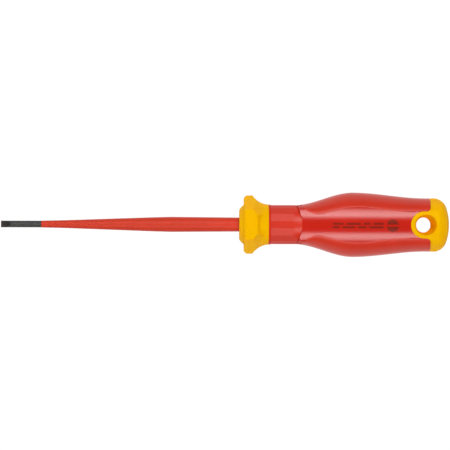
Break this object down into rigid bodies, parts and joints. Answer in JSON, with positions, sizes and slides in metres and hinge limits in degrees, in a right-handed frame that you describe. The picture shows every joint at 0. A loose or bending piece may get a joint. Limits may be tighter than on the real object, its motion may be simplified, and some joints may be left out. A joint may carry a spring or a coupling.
{
  "type": "insulated screwdriver",
  "caption": "Slim slotted screwdriver: bare blade tip, insulating sleeve, hexagonal anti-roll guard, soft-sided oval handle with a hang hole at its end.",
  "frame": {"origin": "centre of the blade tip's end face", "axes": "+X along the tool from the tip to the hang hole, +Y across the handle's wide direction and along the blade's width, +Z across the handle's thin direction and along the hang hole"},
  "size_m": [0.188, 0.0268, 0.0214],
  "materials": {
    "blackened_steel": "black phosphate, satin",
    "red_sleeve_plastic": "fine matt",
    "yellow_plastic": "semi-gloss",
    "red_gloss_plastic": "gloss",
    "red_soft_plastic": "fine matt, soft touch"
  },
  "bodies": {
    "root": {"blade": "blackened_steel", "blade_sleeve": "red_sleeve_plastic", "guard_collar": "yellow_plastic", "handle_core": "yellow_plastic", "hard_shell": "red_gloss_plastic", "neck_grip": "red_soft_plastic", "soft_grip_left": "red_soft_plastic", "soft_grip_right": "red_soft_plastic", "end_cap": "yellow_plastic"}
  },
  "joints": []
}
